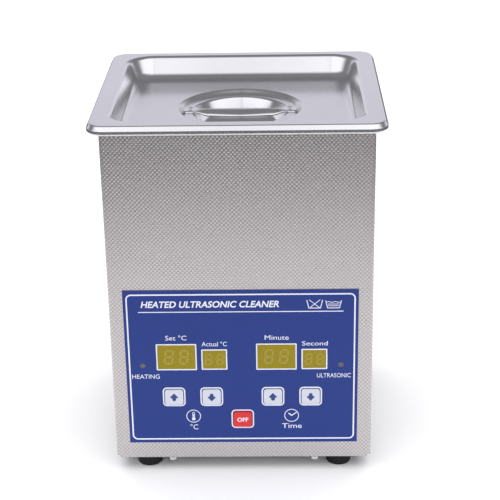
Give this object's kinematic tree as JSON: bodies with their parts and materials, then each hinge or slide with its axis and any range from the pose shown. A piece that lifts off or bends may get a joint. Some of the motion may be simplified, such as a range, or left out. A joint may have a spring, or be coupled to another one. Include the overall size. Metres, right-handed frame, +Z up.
{
  "type": "ultrasonic cleaner",
  "caption": "Bench-top ultrasonic cleaner: a drawn steel tank in a box casing on rubber feet, with a lift-off recessed lid and a digital front panel with press keys.",
  "frame": {"origin": "centre of the footprint, on the surface that the feet stand on", "axes": "+Z up, the control panel faces -Y, +X to the right as seen from the front"},
  "size_m": [0.176, 0.162, 0.2338],
  "materials": {
    "steel_lid": "brushed",
    "steel_tank": "brushed",
    "steel_casing": "embossed",
    "steel_base": "satin",
    "rubber_black": "matte",
    "silicone_white": "matte",
    "zinc": "bright",
    "epoxy": "satin",
    "aluminium": "satin",
    "piezo": "matte",
    "copper": "satin",
    "steel_dark": "satin",
    "heater_film": "satin",
    "black_plastic": "matte",
    "brass": "satin",
    "board_green": "satin",
    "ferrite": "matte",
    "film_red": "gloss",
    "sleeve_blue": "gloss",
    "terminal_green": "satin",
    "display_black": "gloss",
    "led_lens": "gloss",
    "overlay_blue": "satin",
    "window_olive": "satin",
    "wire_brown": "satin",
    "wire_red": "satin",
    "wire_white": "satin",
    "wire_grey": "satin",
    "key_white": "satin",
    "key_red": "satin",
    "glass_fuse": "bright"
  },
  "bodies": {
    "base": {"outer_casing": "steel_casing", "bottom_plate": "steel_base", "foot_front_left": "rubber_black", "foot_front_right": "rubber_black", "foot_rear_left": "rubber_black", "foot_rear_right": "rubber_black", "foot_screws": "zinc", "base_screws": "zinc", "tank": "steel_tank", "rim_gasket": "silicone_white", "bond_pad": "epoxy", "transducer_front_mass": "aluminium", "piezo_rings": "piezo", "electrode_discs": "copper", "transducer_back_mass": "steel_dark", "transducer_bolt": "zinc", "heater_pad_left": "heater_film", "heater_pad_right": "heater_film", "thermal_cutout": "black_plastic", "temperature_probe": "brass", "driver_board": "board_green", "driver_standoffs": "brass", "driver_screws": "zinc", "transformer_core": "ferrite", "transformer_coil": "copper", "tuning_inductor": "copper", "heat_sink": "aluminium", "power_transistors": "black_plastic", "film_capacitors": "film_red", "bulk_capacitor": "sleeve_blue", "bridge_rectifier": "black_plastic", "terminal_blocks": "terminal_green", "control_board": "board_green", "control_standoffs": "zinc", "control_chips": "black_plastic", "tact_switches": "black_plastic", "set_display": "display_black", "actual_display": "display_black", "minute_display": "display_black", "second_display": "display_black", "indicator_leds": "led_lens", "panel_overlay": "overlay_blue", "display_windows": "window_olive", "mains_inlet": "black_plastic", "inlet_blades": "brass", "inlet_screws": "zinc", "mains_leads": "wire_brown", "transducer_leads": "wire_red", "heater_leads": "wire_white", "sensor_leads": "wire_grey", "ribbon_cable": "wire_grey"},
    "lid": {"lid_pan": "steel_lid", "lid_handle": "steel_lid"},
    "fuse_drawer_body": {"fuse_drawer": "black_plastic", "fuse": "glass_fuse"},
    "key_temp_up_body": {"key_temp_up": "key_white"},
    "key_temp_down_body": {"key_temp_down": "key_white"},
    "key_time_up_body": {"key_time_up": "key_white"},
    "key_time_down_body": {"key_time_down": "key_white"},
    "key_power_body": {"key_power": "key_red"}
  },
  "joints": [
    {"name": "lid_lift", "type": "slide", "parent": "base", "child": "lid", "axis": [0, 0, 1], "range_m": [0, 0.12]},
    {"name": "fuse_drawer_slide", "type": "slide", "parent": "base", "child": "fuse_drawer_body", "axis": [0, 1, 0], "range_m": [0, 0.015]},
    {"name": "key_temp_up_press", "type": "slide", "parent": "base", "child": "key_temp_up_body", "axis": [0, 1, 0], "range_m": [0, 0.0005], "stiffness_N_per_m": 1200},
    {"name": "key_temp_down_press", "type": "slide", "parent": "base", "child": "key_temp_down_body", "axis": [0, 1, 0], "range_m": [0, 0.0005], "stiffness_N_per_m": 1200},
    {"name": "key_time_up_press", "type": "slide", "parent": "base", "child": "key_time_up_body", "axis": [0, 1, 0], "range_m": [0, 0.0005], "stiffness_N_per_m": 1200},
    {"name": "key_time_down_press", "type": "slide", "parent": "base", "child": "key_time_down_body", "axis": [0, 1, 0], "range_m": [0, 0.0005], "stiffness_N_per_m": 1200},
    {"name": "key_power_press", "type": "slide", "parent": "base", "child": "key_power_body", "axis": [0, 1, 0], "range_m": [0, 0.0005], "stiffness_N_per_m": 1200}
  ]
}
